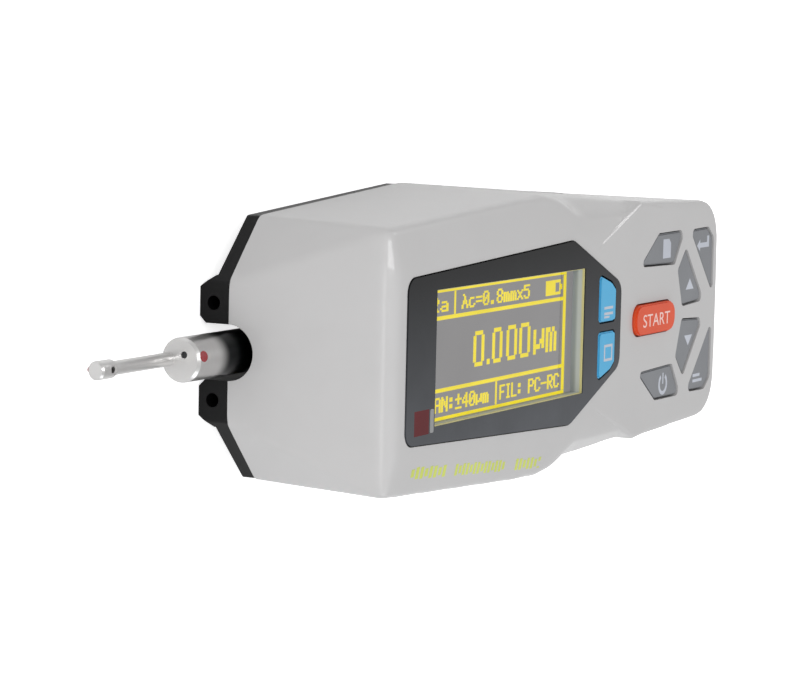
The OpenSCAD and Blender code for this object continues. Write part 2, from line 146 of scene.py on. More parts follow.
# %% Light
SKY_PLAIN = 0.57
SKY_WHITE = 1.0
world = bpy.data.worlds.new("studio")
bpy.context.scene.world = world
world.use_nodes = True
sky = world.node_tree.nodes["Background"]
sky.inputs["Color"].default_value = (1.0, 1.0, 1.0, 1)
sky_glow = seen_strength(world.node_tree, SKY_PLAIN, SKY_WHITE - SKY_PLAIN)
world.node_tree.links.new(sky_glow, sky.inputs["Strength"])


def soft_box(name, place, aim, width, height, watts, long=(0, 0, 1), tint=(1, 1, 1)):
    lamp = bpy.data.lights.new(name, "AREA")
    lamp.shape = "RECTANGLE"
    lamp.size = width
    lamp.size_y = height
    lamp.energy = watts
    lamp.color = tint
    holder = bpy.data.objects.new(name, lamp)
    bpy.context.scene.collection.objects.link(holder)
    back = (Vector(place) - Vector(aim)).normalized()
    up = (Vector(long) - back * back.dot(Vector(long))).normalized()
    side = up.cross(back)
    holder.matrix_world = Matrix.Translation(place) @ Matrix((side, up, back)).transposed().to_4x4()
    print(name, watts, "W")


soft_box("top_box", place=(0.05, -0.45, 0.95), aim=(0.02, 0, 0.02), width=0.8, height=0.8, watts=0.6)
soft_box("end_box", place=(-1.00, -0.15, 0.18), aim=(0, 0, 0.02), width=0.7, height=0.3, watts=1.4)
soft_box("side_box", place=(-0.25, -0.95, 0.45), aim=(0, 0, 0.02), width=0.7, height=0.5, watts=1.9,
         tint=(0.93, 0.97, 1.0))
soft_box("streak_box", place=(-0.651, 0.219, 0.807), aim=(-0.051, 0.019, 0.037), width=0.13, height=1.0,
         watts=3.1, long=(0.79, 0.0, 0.61))
soft_box("back_box", place=(0.905, 0.553, 0.678), aim=(0.041, 0.020, 0.038), width=0.25, height=0.2,
         watts=0.85)
bpy.context.scene.view_settings.view_transform = "Standard"

# %% [markdown]
# ## Finishes
# Every finish is one Principled shader, with the detail that moulded plastic, paint or metal shows up
# close. Two noises do most of the work: a slow one that shifts the colour by a few percent, as moulded
# plastic does, and a fine one that is read as height and gives the grain. Object coordinates are metres
# in the shared frame, so a scale of 4000 means four grains per millimetre, and depth is the height of the
# grain in millimetres. Colours are written as a picture has them, from 0 to 255, and the sRGB curve makes
# them linear.


# %% Helpers for colour and noise
NOISE_LOW = 0.3
NOISE_HIGH = 0.7


def linear(red, green, blue):
    def one(c):
        c = c / 255
        return c / 12.92 if c <= 0.04045 else ((c + 0.055) / 1.055) ** 2.4
    return (one(red), one(green), one(blue), 1.0)


def noise(made, where, scale, detail):
    cloud = made.nodes.new("ShaderNodeTexNoise")
    cloud.inputs["Scale"].default_value = scale
    cloud.inputs["Detail"].default_value = detail
    made.links.new(where, cloud.inputs["Vector"])
    return cloud.outputs["Fac"]


def shaded(made, cloud, colour, vary):
    shade = made.nodes.new("ShaderNodeValToRGB")
    dark, light = shade.color_ramp.elements
    dark.position = NOISE_LOW
    light.position = NOISE_HIGH
    dark.color = [c * (1 - vary) for c in colour[:3]] + [1]
    light.color = [min(1, c * (1 + vary)) for c in colour[:3]] + [1]
    made.links.new(cloud, shade.inputs["Fac"])
    return shade.outputs["Color"]


print("a middle grey of 128 is", round(linear(128, 128, 128)[0], 3), "in linear light")

# %% [markdown]
# ## One finish
# The slow noise goes to the colour. The fine noise goes to the roughness, which gives small worn spots,
# and to a bump, which gives the grain. A clear coat on top makes the thin sharp highlight of polished
# plastic. Numbers that are the same all over the surface are set on the shader itself.


# %% Helper for one finish
COAT_ROUGH = 0.07
GRAIN_STRENGTH = 0.6
MOTTLE_SCALE = 90


def finish(name, colour, rough, metal=0.0, grain=4000, depth=0.02, mottle=0.04, wear=0.05,
           stretch=(1, 1, 1), coat=0.0, shine=0.5):
    paint = bpy.data.materials.new(name)
    paint.use_nodes = True
    made = paint.node_tree
    shader = made.nodes["Principled BSDF"]
    shader.inputs["Metallic"].default_value = metal
    shader.inputs["Coat Weight"].default_value = coat
    shader.inputs["Coat Roughness"].default_value = COAT_ROUGH
    shader.inputs["Specular IOR Level"].default_value = shine
    place = made.nodes.new("ShaderNodeTexCoord")
    scaled = made.nodes.new("ShaderNodeMapping")
    scaled.inputs["Scale"].default_value = stretch
    made.links.new(place.outputs["Object"], scaled.inputs["Vector"])
    slow = noise(made, scaled.outputs[0], scale=MOTTLE_SCALE, detail=3)
    made.links.new(shaded(made, slow, colour, mottle), shader.inputs["Base Color"])
    fine = noise(made, scaled.outputs[0], scale=grain, detail=2)
    gloss = made.nodes.new("ShaderNodeMapRange")
    gloss.inputs["From Min"].default_value = NOISE_LOW
    gloss.inputs["From Max"].default_value = NOISE_HIGH
    gloss.inputs["To Min"].default_value = rough - wear
    gloss.inputs["To Max"].default_value = rough + wear
    made.links.new(fine, gloss.inputs["Value"])
    made.links.new(gloss.outputs["Result"], shader.inputs["Roughness"])
    bump = made.nodes.new("ShaderNodeBump")
    bump.inputs["Strength"].default_value = GRAIN_STRENGTH
    bump.inputs["Distance"].default_value = depth * MM
    made.links.new(fine, bump.inputs["Height"])
    made.links.new(bump.outputs["Normal"], shader.inputs["Normal"])
    return paint


grey_shell = finish("grey_shell", linear(196, 195, 195), rough=0.34, grain=5200, depth=0.006, mottle=0.012,
                    coat=0.4, shine=0.3)
black_base = finish("black_base", linear(9, 9, 10), rough=0.40, grain=4200, depth=0.018, mottle=0.12,
                    shine=0.22)
print("housing finishes:", grey_shell.name, black_base.name)

# %% [markdown]
# ## Bezel lacquer
# The bezel is a glossy black panel. The real bezel looks paler towards its lower edge, where it mirrors
# the bright room. More lamps there would also wash out the grey shell, so that reflection is painted into
# the lacquer instead: its colour is scaled along Y, darker at the upper edge and paler at the lower edge,
# from one edge of the panel to the other. The same ramp along an axis later paints shade and a dark
# reflection on the rear of the pickup, and a yellow reflection on the rim of the window.


# %% Bezel lacquer
BEZEL_EDGE = 17 * MM
UPPER_SHARE = 0.25
LOWER_SHARE = 7.4


def ramp_along(made, axis, start, end):
    split = made.nodes.new("ShaderNodeSeparateXYZ")
    made.links.new(made.nodes["Texture Coordinate"].outputs["Object"], split.inputs[0])
    ramp = made.nodes.new("ShaderNodeMapRange")
    ramp.inputs["From Min"].default_value = start
    ramp.inputs["From Max"].default_value = end
    made.links.new(split.outputs[axis], ramp.inputs["Value"])
    return ramp


bezel_gloss = finish("bezel_gloss", linear(27, 28, 30), rough=0.20, grain=2600, depth=0.003, mottle=0.10,
                     wear=0.04, shine=0.16)
tinted = bezel_gloss.node_tree
lacquer = tinted.nodes["Principled BSDF"].inputs["Base Color"]
across = ramp_along(tinted, "Y", BEZEL_EDGE, -BEZEL_EDGE)
across.inputs["To Min"].default_value = UPPER_SHARE
across.inputs["To Max"].default_value = LOWER_SHARE
# Painted reflection of the bright room: the lacquer colour is scaled along Y, darker at the upper edge and
# paler at the lower edge.
painted_reflection = tinted.nodes.new("ShaderNodeVectorMath")
painted_reflection.operation = "SCALE"
tinted.links.new(lacquer.links[0].from_socket, painted_reflection.inputs[0])
tinted.links.new(across.outputs["Result"], painted_reflection.inputs["Scale"])
tinted.links.new(painted_reflection.outputs[0], lacquer)
print("lacquer from", UPPER_SHARE, "to", LOWER_SHARE, "times its colour")

# %% [markdown]
# ## Metals
# The pickup is turned from stainless steel, so its marks run round its axis. The same two noises do that
# when the pattern is squeezed along X: a stretch of 12 along the axis and 1 across gives thin rings. The
# rear of the pickup body is painted dark: painted shade and a painted reflection of the black base, which
# fade out towards the bare front half. The screws, rods and bushes inside are plated, ground or cast, and
# differ in colour and in how sharp they shine. The Mix node holds a set of sockets for each kind of data,
# so the ones for colour are picked by number.


# %% Metals
PAINTED_SHADE_AND_REFLECTION = (0.004, 0.005, 0.006, 1)
MIX_SHARE, MIX_FIRST, MIX_SECOND = 0, 6, 7
MIX_RESULT = 2


def fade_to(paint, axis, start, end, colour):
    made = paint.node_tree
    base = made.nodes["Principled BSDF"].inputs["Base Color"]
    along = ramp_along(made, axis, start * MM, end * MM)
    along.interpolation_type = "SMOOTHSTEP"
    second = made.nodes.new("ShaderNodeMix")
    second.data_type = "RGBA"
    second.inputs[MIX_SECOND].default_value = colour
    made.links.new(along.outputs["Result"], second.inputs[MIX_SHARE])
    made.links.new(base.links[0].from_socket, second.inputs[MIX_FIRST])
    made.links.new(second.outputs[MIX_RESULT], base)


pickup_steel = finish("pickup_steel", linear(214, 213, 212), rough=0.30, metal=1.0, grain=900,
                      depth=0.0001, mottle=0.012, wear=0.015, stretch=(12, 1, 1))
# Painted shade and painted reflection of the black base, darkening the rear of the pickup body.
fade_to(pickup_steel, "X", -60.8, -56.8, PAINTED_SHADE_AND_REFLECTION)
rod_steel = finish("rod_steel", linear(214, 214, 216), rough=0.14, metal=1.0, grain=1200, depth=0.002,
                   stretch=(10, 1, 1))
screw_steel = finish("screw_steel", linear(206, 205, 198), rough=0.32, metal=1.0, grain=3000, depth=0.006)
screw_black = finish("screw_black", linear(52, 52, 54), rough=0.45, metal=0.6, grain=3000, depth=0.010)
socket_steel = finish("socket_steel", linear(200, 200, 203), rough=0.26, metal=1.0, grain=1500,
                      depth=0.004)
frame_aluminium = finish("frame_aluminium", linear(196, 198, 200), rough=0.38, metal=1.0, grain=1800,
                         depth=0.008, stretch=(1, 6, 6))
bronze = finish("bronze", linear(200, 160, 92), rough=0.30, metal=1.0, grain=1400, depth=0.006,
                stretch=(8, 1, 1))
motor_can = finish("motor_can", linear(184, 184, 187), rough=0.28, metal=1.0, grain=1600, depth=0.005)
print("steel, aluminium and bronze ready")

# %% [markdown]
# ## Plastics, board and battery
# The keys are soft moulded caps: matt, with a grain that is a little coarser than the housing. The pieces
# inside are never seen when the tester is closed, but they still get their own finish, because someone
# may open the part later.

# %% Plastics
KEY = {"grain": 3600, "depth": 0.016}
INNER = {"grain": 3200, "depth": 0.020}
key_grey = finish("key_grey", linear(130, 132, 136), rough=0.50, mottle=0.05, **KEY)
key_blue = finish("key_blue", linear(78, 176, 222), rough=0.40, mottle=0.06, **KEY)
key_orange = finish("key_orange", linear(222, 76, 30), rough=0.40, mottle=0.06, **KEY)
carriage_black = finish("carriage_black", linear(96, 96, 100), rough=0.48, mottle=0.10, **INNER)
switch_black = finish("switch_black", linear(60, 60, 60), rough=0.45, mottle=0.10, **INNER)
board_green = finish("board_green", linear(40, 134, 92), rough=0.34, grain=1500, depth=0.012, mottle=0.15)
battery_wrap = finish("battery_wrap", linear(110, 150, 194), rough=0.28, grain=700, depth=0.020,
                      mottle=0.08)
red_lens = finish("red_lens", linear(92, 12, 20), rough=0.16, grain=1800, depth=0.003, mottle=0.15,
                  shine=0.18)
ruby = finish("ruby", linear(150, 30, 48), rough=0.08, grain=1800, depth=0.001, mottle=0.10)
print("made", len(bpy.data.materials), "materials so far")

# %% [markdown]
# ## Clear pane
# A thin acrylic pane lies on the display. It could be left out, but then the display would look like
# paper. It is a real refracting slab with a faint, uneven haze, so the pale room mirrors in it at a low
# angle.

# %% Clear pane
clear_pane = bpy.data.materials.new("clear_pane")
clear_pane.use_nodes = True
pane_tree = clear_pane.node_tree
pane_shader = pane_tree.nodes["Principled BSDF"]
pane_shader.inputs["Base Color"].default_value = (0.96, 0.97, 0.98, 1)
pane_shader.inputs["Transmission Weight"].default_value = 1.0
pane_shader.inputs["IOR"].default_value = 1.46
pane_place = pane_tree.nodes.new("ShaderNodeTexCoord")
smear = noise(pane_tree, pane_place.outputs["Object"], scale=160, detail=4)
haze = pane_tree.nodes.new("ShaderNodeMapRange")
haze.inputs["To Min"].default_value = 0.01
haze.inputs["To Max"].default_value = 0.09
pane_tree.links.new(smear, haze.inputs["Value"])
pane_tree.links.new(haze.outputs["Result"], pane_shader.inputs["Roughness"])
print("pane ready")

# %% [markdown]
# ## Working in millimetres
# The next pieces are drawn in millimetres from the pickup end of the housing, as a maker would measure
# them. The helpers turn those numbers into points of the shared frame, and give the heights that the
# model already has, so that a print lies on the key that carries it.


# %% Helpers for places
PICKUP_END = round(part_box("upper_housing")[0].x / MM, 3)
RIM = round(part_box("upper_housing")[0].z / MM, 3)


def at(x, y, z):
    return ((x + PICKUP_END) * MM, y * MM, z * MM)


def top_of(node):
    return round(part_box(node)[1].z / MM, 3)


FACE = top_of("upper_housing")
print("pickup end at", PICKUP_END, "rim at", RIM, "face at", FACE)

# %% [markdown]
# ## Clouds of points
# Rings and balls of points are the corners of a shape before a skin is drawn round them. A ring gives a
# round vertical edge, and a ball gives an edge that is round in every direction. Most shapes here are the
# same on both sides, so only one half is written down.


# %% Helpers for points
def ring(x, y, z, r, n=64):
    turns = [2 * math.pi * i / n for i in range(n)]
    return [(x + r * math.cos(a), y + r * math.sin(a), z) for a in turns]


def ball(x, y, z, r, n=40):
    points = []
    for j in range(n // 2 + 1):
        low = math.pi * (j / (n // 2) - 0.5)
        points += ring(x, y, z + r * math.sin(low), max(r * math.cos(low), 0.001), n)
    return points


def both_sides(points):
    return points + [(x, -y, z) for x, y, z in points]


print("a ball of points has", len(ball(0, 0, 0, 1)), "points")

# %% [markdown]
# ## Rounded outlines
# A corner list gives a point and a radius for each corner, so that an outline is drawn the way it is
# dimensioned. Blender's bevel could round the corners as well, but it needs a mesh first, and here we
# want plain lines. An outline can also be mirrored to the other side, or grown by a gap.


# %% Helpers for outlines
CORNER_SHARE = 0.48
SHARPEST = 0.2


def rounded(corners, steps=8):
    line = []
    for i, (x, y, r) in enumerate(corners):
        here = Vector((x, y))
        back = Vector(corners[i - 1][:2]) - here
        ahead = Vector(corners[(i + 1) % len(corners)][:2]) - here
        half = back.angle(ahead) / 2
        reach = min(r / math.tan(half), CORNER_SHARE * min(back.length, ahead.length))
        radius = reach * math.tan(half)
        middle = here + (back.normalized() + ahead.normalized()).normalized() * radius / math.sin(half)
        start = here + back.normalized() * reach - middle
        end = here + ahead.normalized() * reach - middle
        for k in range(steps + 1):
            spoke = start.lerp(end, k / steps).normalized() * radius
            line.append((middle.x + spoke.x, middle.y + spoke.y))
    return line


def bar(x0, y0, x1, y1):
    return [(x0, y0), (x1, y0), (x1, y1), (x0, y1)]


def mirrored(corners):
    return [(x, -y, r) for x, y, r in reversed(corners)]


def grown(line, d):
    turn = sum(a[0] * b[1] - b[0] * a[1] for a, b in zip(line, line[1:] + line[:1]))
    side = 1 if turn > 0 else -1
    wider = []
    for i, p in enumerate(line):
        a = Vector(p) - Vector(line[i - 1])
        b = Vector(line[(i + 1) % len(line)]) - Vector(p)
        na = Vector((a.y, -a.x)).normalized() * side
        nb = Vector((b.y, -b.x)).normalized() * side
        push = (na + nb) / max(1 + na.dot(nb), SHARPEST)
        wider.append((p[0] + push.x * d, p[1] + push.y * d))
    return wider


print("a rounded square has", len(rounded([(0, 0, 1), (4, 0, 1), (4, 4, 1), (0, 4, 1)])), "points")

# %% [markdown]
# ## Making closed solids
# Three small makers cover all the shapes: the skin around a cloud of points, an outline raised between
# two heights, and a row of rings joined by walls. All three give closed meshes, which the cutting later
# on needs.


# %% Helpers for solids
def keep(name, made):
    bmesh.ops.recalc_face_normals(made, faces=made.faces)
    mesh = bpy.data.meshes.new(name)
    made.to_mesh(mesh)
    made.free()
    piece = bpy.data.objects.new(name, mesh)
    bpy.context.scene.collection.objects.link(piece)
    return piece


def skin(name, points):
    made = bmesh.new()
    for p in points:
        made.verts.new(at(*p))
    bmesh.ops.convex_hull(made, input=made.verts)
    bmesh.ops.delete(made, geom=[v for v in made.verts if not v.link_faces], context="VERTS")
    return keep(name, made)


def add_walls(made, rows, closed=False):
    n = len(rows[0])
    for low, high in zip(rows, rows[1:] + rows[:1] if closed else rows[1:]):
        for i in range(n):
            made.faces.new((low[i], low[(i + 1) % n], high[(i + 1) % n], high[i]))


def add_rings(made, rings):
    rows = [[made.verts.new(at(*p)) for p in row] for row in rings]
    add_walls(made, rows)
    made.faces.new(rows[0])
    made.faces.new(rows[-1])


def raised(name, lines, z0, z1):
    made = bmesh.new()
    for line in lines:
        add_rings(made, [[(x, y, z0) for x, y in line], [(x, y, z1) for x, y in line]])
    return keep(name, made)


print("makers: skin, raised, add_rings")

# %% [markdown]
# ## Cutting and fixing
# Cuts are Boolean modifiers. We apply them at once by reading the evaluated mesh back into the piece, and
# then remove the cutters, so that no modifier and no helper object is left in the file.


# %% Helpers for cuts
def baked(piece):
    deps = bpy.context.evaluated_depsgraph_get()
    mesh = bpy.data.meshes.new_from_object(piece.evaluated_get(deps))
    piece.modifiers.clear()
    piece.data = mesh


def cut(piece, tools, name):
    box = bpy.data.collections.new(name)
    bpy.context.scene.collection.children.link(box)
    for tool in tools:
        box.objects.link(tool)
    work = piece.modifiers.new(name, "BOOLEAN")
    work.operation = "DIFFERENCE"
    work.operand_type = "COLLECTION"
    work.collection = box
    work.solver = "EXACT"
    baked(piece)
    for tool in tools:
        bpy.data.objects.remove(tool)
    bpy.data.collections.remove(box)


print("cutters: baked, cut")

# %% [markdown]
# ## Upper housing, facets
# The grey shell is one injection moulding. Its face and side facets melt into each other with soft edges.
# We draw the hard facets first, as skins around discs and balls: the foot stands on the base, the brow is
# where the side facets begin, and the face lies on top. The functions take a wall thickness, so that the
# hollow inside can later be drawn with the same numbers.


# %% Facets
FOOT_R = 1
NOSE_X, NOSE_Y = 1, 11.8
CHEEK_X, CHEEK_Y = 10.5, 22.3
WIDE_X, WIDE_Y = 61.4, 26
FAR_X, FAR_Y, FAR_R = 133, 14, 8
FAR_BROW_Y, FAR_FACE_Y = 12.6, 8
BROW = 36.4
BROW_TILT = 0.83
BROW_WIDE_Y = 26.2
EDGE_X, EDGE_Y = 0.8, 23
FACE_END_Y = 15.2
FACE_SIDE_X, FACE_SIDE_Y = 72, 18
DIAGONAL = 0.4
SLANT = 0.2
SMOOTH = 128


def foot(wall, z):
    points = ring(NOSE_X + wall, NOSE_Y - DIAGONAL * wall, z, FOOT_R)
    points += ring(CHEEK_X + DIAGONAL * wall, CHEEK_Y - wall, z, FOOT_R)
    points += ring(WIDE_X, WIDE_Y - wall, z, FOOT_R)
    return points + ring(FAR_X, FAR_Y, z, FAR_R - wall, SMOOTH)


def block(wall, face_wall, low):
    face = FACE - face_wall
    brow = BROW - face_wall
    end_r = max(3 - wall, 0.8)
    edge_r = max(1.2 - wall, 0.4)
    side_r = max(1 - wall, 0.4)
    half = foot(wall, low)
    half += ring(FAR_X, FAR_BROW_Y, brow, FAR_R - wall, SMOOTH)
    half += ring(FAR_X, FAR_FACE_Y, face, FAR_R - wall, SMOOTH)
    half += ball(wall + end_r, FACE_END_Y - SLANT * wall, face - end_r, end_r)
    half += ball(EDGE_X + wall + edge_r, EDGE_Y - wall - edge_r, brow - BROW_TILT * edge_r, edge_r)
    half += ball(FACE_SIDE_X, FACE_SIDE_Y - SLANT * wall, face - side_r, side_r)
    half += ball(WIDE_X, BROW_WIDE_Y - wall - side_r, brow - BROW_TILT * side_r, side_r)
    return both_sides(half)


shell = skin("upper_shell", block(0, 0, RIM))
print("hard facets:", len(shell.data.polygons), "faces")

# %% [markdown]
# ## Upper housing, thumb scoops
# A thumb scoop is pressed into each long side, in front of the keypad. Its wall leans like the side of a
# bowl, so the cutter is a skin round six balls that lean outwards as they go down.


# %% Thumb scoops
SCOOP_R = 8
SCOOP_LEAN = 0.78
SCOOP_PATH = [(56, 30), (77.5, 21.4), (108, 21.6)]
SCOOP_HEIGHTS = (41, 28)


def scoops(wall):
    out = Vector((1, SCOOP_LEAN)).normalized() * SCOOP_R
    points = []
    for x, y in SCOOP_PATH:
        for z in SCOOP_HEIGHTS:
            points += ball(x, y - SCOOP_LEAN * (z - BROW) + out.x, z + out.y, SCOOP_R + wall, n=56)
    return [skin("scoop", [(x, side * y, z) for x, y, z in points]) for side in (1, -1)]


cut(shell, scoops(0), "scoops")
print("facets with scoops:", len(shell.data.polygons), "faces")

# %% [markdown]
# ## Upper housing, deck and skirt
# The keypad deck is a raised block behind the scoops. A skirt below the rim keeps the lower edge
# straight, and it is cut away later. Both are only laid into the mesh here, because the net of the next
# step joins them.

# %% Deck and skirt
DECK_TIP = (83.6, 15.8)
DECK_SIDE = (101, 22.3)
DECK_FAR_Y = 14.1
DECK_STEPS = [(RIM, 0), (37.1, 0), (37.7, 0.25), (FACE, 0.85)]
deck = []
for z, inset in DECK_STEPS:
    deck += ring(*DECK_TIP, z, 1 - inset) + ring(*DECK_SIDE, z, 1 - inset)
    deck += ring(FAR_X, DECK_FAR_Y, z, FAR_R - inset, SMOOTH)
skirt = foot(0, RIM - 3) + foot(0, RIM + 0.5)
for extra in (skin("deck", both_sides(deck)), skin("skirt", both_sides(skirt))):
    both = bmesh.new()
    both.from_mesh(shell.data)
    both.from_mesh(extra.data)
    both.to_mesh(shell.data)
    both.free()
    bpy.data.objects.remove(extra)
print("facets, deck and skirt:", len(shell.data.polygons), "faces")

# %% [markdown]
# ## Upper housing, soft edges
# One even net is laid over everything and relaxed, which rounds each edge the way a polished mould does.
# A bevel would need every edge to be picked by hand. The rims of the scoops are relaxed further than the
# rest: a weight for each point says how close to a scoop it is.


# %% Soft edges
NET_SIZE = 0.58 * MM
SCOOP_MIDDLE = 70
SCOOP_REACH = 18


def rise(value, start, span):
    return min(1, max(0, (value - start) / span))


def relaxed(piece, rounds, group=""):
    work = piece.modifiers.new("relax", "SMOOTH")
    work.factor = 0.5
    work.iterations = rounds
    work.vertex_group = group
    baked(piece)


net = shell.modifiers.new("net", "REMESH")
net.mode = "VOXEL"
net.voxel_size = NET_SIZE
relaxed(shell, rounds=14)
near_scoop = shell.vertex_groups.new(name="near_scoop")
for v in shell.data.vertices:
    x = v.co.x / MM - PICKUP_END
    along = max(0, 1 - abs(x - SCOOP_MIDDLE) / SCOOP_REACH)
    share = along * rise(abs(v.co.y) / MM, start=16, span=3) * rise(v.co.z / MM, start=20, span=8)
    near_scoop.add([v.index], share, "REPLACE")
relaxed(shell, rounds=100, group="near_scoop")
shell.vertex_groups.clear()
print("outside of the shell:", len(shell.data.polygons), "faces")

# %% [markdown]
# ## Deck edge
# The slanted front edge of the keypad deck is the one crisp edge of the moulding: it catches the light as
# a bright slash. The relaxing would wash it out, so it is laid on afterwards as a lip that runs out to a
# point in front and sinks into the deck behind it.

# %% Deck edge
LIP_STEPS = [(33, 0), (37.1, 0), (37.45, 0.1), (37.78, 0.3), (38.0, 0.56), (38.13, 0.9)]
lip = []
for z, inset in LIP_STEPS:
    lip += ring(*DECK_TIP, z, 1 - inset) + ring(*DECK_SIDE, z, 1 - inset)
lip += [(79.8, 14.2, 37.9), (86.5, 11.2, 37.93), (92, 11, 37.93), (112, 14, 37.95), (112, 21.6, 37.95)]
lip += [(112, 22.5, 37), (112, 22.5, 33), (92, 12, 33)]
for side in (1, -1):
    tool = skin("lip", [(x, side * y, z) for x, y, z in lip])
    join = shell.modifiers.new("lip", "BOOLEAN")
    join.operation = "UNION"
    join.solver = "EXACT"
    join.object = tool
    baked(shell)
    bpy.data.objects.remove(tool)
print("shell with deck edges:", len(shell.data.polygons), "faces")

# %% [markdown]
# ## Upper housing, outlines of the openings
# The nine keys and the bezel pass through the face. Their outlines are corner lists of x, y and radius.
# All but the start key are mirrored from one side to the other, so each is written only once.

# %% Outlines of the openings
start_line = [(98.4, 2.95, 2.6), (117.2, 2.95, 2.6), (117.2, -2.95, 2.6), (98.4, -2.95, 2.6)]
near_line = [(102, 10.6, 0.5), (110.2, 16.3, 1.2), (122.6, 16.4, 1), (118.2, 10.2, 0.8)]
middle_line = [(124, 12.7, 0.8), (133.2, 2, 1), (122.8, 1.5, 0.8), (120.2, 8.6, 0.8)]
far_line = [(126.4, 16.2, 0.8), (135.2, 16.4, 1.5), (138, 14.2, 1.5), (138, 3.4, 0.6)]
blue_line = [(82.2, 10, 0.8), (87.5, 8.4, 0.8), (89.4, 7, 0.8), (89.4, 1, 0.8), (82.2, 1, 0.8)]
bezel_line = [(4.8, 14.2, 2.5), (70.3, 17.2, 5), (92.2, 7.9, 3)]
deck_line = [(88.1, 15.2, 0.5), (102.6, 20.7, 0.5), (139, 19.8, 6)]
key_lines = [start_line]
for line in (near_line, middle_line, far_line, blue_line):
    key_lines += [line, mirrored(line)]
print(len(key_lines), "key openings")

# %% [markdown]
# ## Upper housing, openings
# The moulding is hollow, with 2 mm walls and a 3 mm face. The recess for the bezel, the display window,
# the nine key openings, the arch for the pickup and the slot of the data socket are cut after the
# relaxing, so their edges stay crisp. The cutters of keys and bezel reach past the face, so that no thin
# skin is left.


# %% Openings
WALL = 2
FACE_WALL = 3
DEEP = 33
ABOVE = 41
KEY_GAP = 0.3
BEZEL_GAP = 0.22
RECESS_FLOOR = 36.5
ARCH_R = 4.9
SOCKET_LOW, SOCKET_HIGH = 26.7, 30.7


def box_line(x0, x1, half):
    return bar(x0, -half, x1, half)


cavity = skin("cavity", block(WALL, FACE_WALL, RIM - 1))
cut(cavity, scoops(WALL), "inner_scoops")
arch = bmesh.new()
add_rings(arch, [[(x, y, z) for y, z, _ in ring(0, RIM, 0, ARCH_R)] for x in (-1, 6)])
bezel_outline = grown(rounded(bezel_line + mirrored(bezel_line), steps=12), BEZEL_GAP)
tools = [
    cavity,
    raised("deck_cavity", [rounded(deck_line + mirrored(deck_line))], RIM - 1, FACE - 2.9),
    raised("under", [box_line(-10, 150, 40)], 0, RIM),
    raised("bezel_recess", [bezel_outline], RECESS_FLOOR, ABOVE),
    raised("window_hole", [box_line(13, 77.8, 13.8)], DEEP, FACE),
    raised("key_holes", [grown(rounded(line), KEY_GAP) for line in key_lines], DEEP, ABOVE),
    raised("socket_hole", [box_line(137, 145, 4.4)], SOCKET_LOW, SOCKET_HIGH),
    keep("arch", arch),
]
cut(shell, tools, "openings")
print("shell with openings:", len(shell.data.polygons), "faces")

# %% [markdown]
# ## Upper housing, bosses and finish
# Eight screw bosses stand inside: four tall ones for the base and four short ones for the board. Each is a
# tube, drawn as four rings joined all the way round. Then the shell takes its finish and the place of the
# plain solid, which stays in the model for collision only, hidden.

# %% Bosses and finish
BOSS_SIDES = 32
SHELL_SHARP = math.radians(38)
boss_table = [
    (18, 19.5, 3, 1, RIM, RIM + 16),
    (122, 18, 3, 1, RIM, RIM + 16),
    (8.6, 11, 2.2, 0.8, 27, 35.2),
    (107.6, 6.8, 2.2, 0.8, 27, 35.2),
]
bosses = bmesh.new()
bosses.from_mesh(shell.data)
for x, y, radius, hole, z0, z1 in boss_table:
    for side in (1, -1):
        rows = []
        for r, z in [(hole, z0), (radius, z0), (radius, z1), (hole, z1)]:
            rows.append([bosses.verts.new(at(*p)) for p in ring(x, side * y, z, r, BOSS_SIDES)])
        add_walls(bosses, rows, closed=True)
bosses.to_mesh(shell.data)
bosses.free()
shell.data.shade_smooth()
shell.data.set_sharp_from_angle(angle=SHELL_SHARP)
shell.data.materials.clear()
shell.data.materials.append(grey_shell)
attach(shell, "housing")
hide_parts("upper_housing")
triangles = sum(len(p.vertices) - 2 for p in shell.data.polygons)
print("shell:", len(shell.data.polygons), "faces,", triangles, "triangles")

# %% [markdown]
# ## Which node takes which finish
# The nodes of the model stay where they are, and only their material slots change. One table keeps the
# whole list readable. The last line prints the nodes that aren't in it: only the display module should
# show there, because it gets its glow further down.

# %% Give the nodes their finishes
wears = {
    grey_shell: ["upper_housing"],
    black_base: ["base_plate"],
    bezel_gloss: ["bezel_panel"],
    clear_pane: ["display_window"],
    red_lens: ["status_lens"],
    board_green: ["main_board"],
    switch_black: ["key_switches"],
    battery_wrap: ["battery_pack"],
    socket_steel: ["data_socket"],
    screw_steel: ["board_screws", "frame_screws"],
    screw_black: ["base_screws", "pickup_screw"],
    frame_aluminium: ["drive_frame"],
    rod_steel: ["guide_rods", "lead_screw", "motor_shaft", "stylus_pin", "stylus_arm"],
    bronze: ["screw_bushes", "carriage_nut", "shaft_sleeve"],
    motor_can: ["drive_motor"],
    carriage_black: ["carriage", "pickup_socket"],
    pickup_steel: ["pickup_body", "pickup_tube"],
    ruby: ["pickup_skid"],
    key_orange: ["start_key"],
    key_blue: ["blue_key_upper", "blue_key_lower"],
    key_grey: ["upper_near_key", "upper_middle_key", "upper_far_key",
               "lower_near_key", "lower_middle_key", "lower_far_key"],
}
for paint, names in wears.items():
    for name in names:
        nodes[name].data.materials.clear()
        nodes[name].data.materials.append(paint)
print("not in the table:", sorted(set(nodes) - {name for names in wears.values() for name in names}))

# %% [markdown]
# ## Smooth turned and moulded nodes
# The nodes come with flat faces. Shading that blends across shallow edges makes turned metal look turned,
# and it leaves the points of the mesh where they are.

# %% Smooth shading
NODE_SHARP = math.radians(28)
shown = [node for name, node in nodes.items() if name != "upper_housing"]
for node in shown:
    node.data.shade_smooth()
    node.data.set_sharp_from_angle(angle=NODE_SHARP)
print("smoothed", len(shown), "nodes")

# %% [markdown]
# ## Dots of the display signs
# The real display is a dot matrix: each sign is five dots wide and seven dots high, and the dots glow
# yellow. So the signs are typed here as seven rows of dots. Three keys stand for signs that a keyboard
# lacks: l is the Greek lambda, u is the Greek mu, and + is plus or minus.

